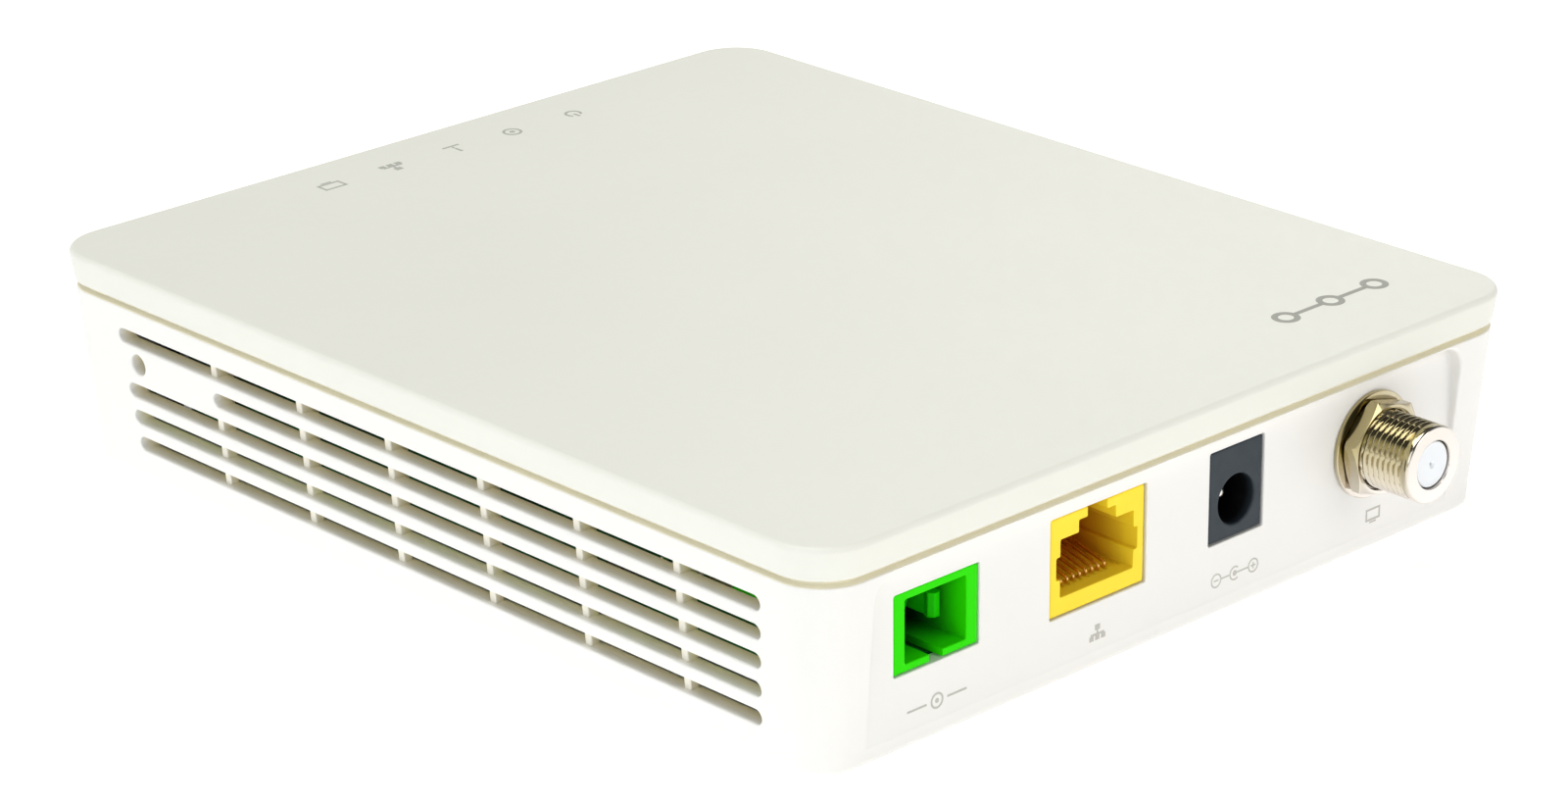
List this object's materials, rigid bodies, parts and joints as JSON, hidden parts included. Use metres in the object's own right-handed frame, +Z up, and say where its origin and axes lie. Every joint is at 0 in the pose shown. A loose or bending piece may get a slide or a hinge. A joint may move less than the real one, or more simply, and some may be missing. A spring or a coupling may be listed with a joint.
{
  "type": "optical network terminal",
  "caption": "Small white desktop fibre terminal: a flat two-shell case with louvred sides, an optical receptacle, a network jack, a power inlet and a coaxial television socket.",
  "frame": {"origin": "centre of the footprint's bounding box, on the surface that the rubber feet stand on", "axes": "+Z up; the sockets face -Y; the louvred side with the reset pin hole faces -X; the indicator edge faces +Y"},
  "size_m": [0.1164, 0.1438, 0.0292],
  "materials": {
    "cover_plastic": "satin",
    "base_plastic": "satin",
    "foot_rubber": "matte",
    "screw_steel": "satin",
    "label_film": "matte",
    "board_laminate": "satin",
    "chip_epoxy": "matte",
    "sink_aluminium": "satin",
    "capacitor_can": "satin",
    "ferrite": "matte",
    "tinplate": "satin",
    "led_epoxy": "gloss",
    "guide_acrylic": "gloss",
    "optical_green": "satin",
    "zirconia": "gloss",
    "optical_metal": "satin",
    "diode_metal": "satin",
    "lan_yellow": "satin",
    "contact_gold": "gloss",
    "inlet_plastic": "satin",
    "pin_nickel": "gloss",
    "coax_nickel": "gloss",
    "dielectric": "satin",
    "switch_plastic": "satin"
  },
  "bodies": {
    "terminal": {"top_cover": "cover_plastic", "base_shell": "base_plastic", "foot_1": "foot_rubber", "foot_2": "foot_rubber", "foot_3": "foot_rubber", "foot_4": "foot_rubber", "case_screw_1": "screw_steel", "case_screw_2": "screw_steel", "rating_label": "label_film", "main_board": "board_laminate", "board_screw_1": "screw_steel", "board_screw_2": "screw_steel", "board_screw_3": "screw_steel", "led_1": "led_epoxy", "led_2": "led_epoxy", "led_3": "led_epoxy", "led_4": "led_epoxy", "led_5": "led_epoxy", "light_guide": "guide_acrylic", "processor": "chip_epoxy", "heat_sink": "sink_aluminium", "memory_chip": "chip_epoxy", "flash_chip": "chip_epoxy", "lan_transformer": "chip_epoxy", "crystal": "tinplate", "input_capacitor": "capacitor_can", "output_capacitor": "capacitor_can", "power_inductor": "ferrite", "shield_frame": "tinplate", "shield_lid": "tinplate", "optical_receptacle": "optical_green", "latch_insert": "optical_green", "alignment_sleeve": "zirconia", "fibre_stub": "zirconia", "optical_body": "optical_metal", "laser_can": "diode_metal", "receiver_can": "diode_metal", "catv_receiver_can": "diode_metal", "lan_jack": "lan_yellow", "lan_contact_comb": "lan_yellow", "power_jack": "inlet_plastic", "power_pin": "pin_nickel", "coax_barrel": "coax_nickel", "coax_dielectric": "dielectric", "coax_contact": "contact_gold", "coax_nut": "coax_nickel", "coax_washer": "coax_nickel", "reset_switch_body": "switch_plastic", "reset_switch_bracket": "tinplate"},
    "reset_button": {"reset_button": "switch_plastic"},
    "lan_contacts": {"lan_contact_1": "contact_gold", "lan_contact_2": "contact_gold", "lan_contact_3": "contact_gold", "lan_contact_4": "contact_gold", "lan_contact_5": "contact_gold", "lan_contact_6": "contact_gold", "lan_contact_7": "contact_gold", "lan_contact_8": "contact_gold"},
    "power_contact": {"power_spring_contact": "contact_gold"}
  },
  "joints": [
    {"name": "reset_press", "type": "slide", "parent": "terminal", "child": "reset_button", "axis": [1, 0, 0], "range_m": [0, 0.00025], "stiffness_N_per_m": 400, "springref_m": -0.001},
    {"name": "lan_contact_flex", "type": "hinge", "parent": "terminal", "child": "lan_contacts", "pos_m": [-0.01265, -0.0596, 0.01195], "axis": [-1, 0, 0], "range_deg": [0, 10], "stiffness_Nm_per_rad": 0.05, "springref_deg": -2.86},
    {"name": "power_contact_flex", "type": "hinge", "parent": "terminal", "child": "power_contact", "pos_m": [0.0107, -0.04895, 0.01115], "axis": [1, 0, 0], "range_deg": [0, 2.2], "stiffness_Nm_per_rad": 0.05, "springref_deg": -1.15}
  ]
}
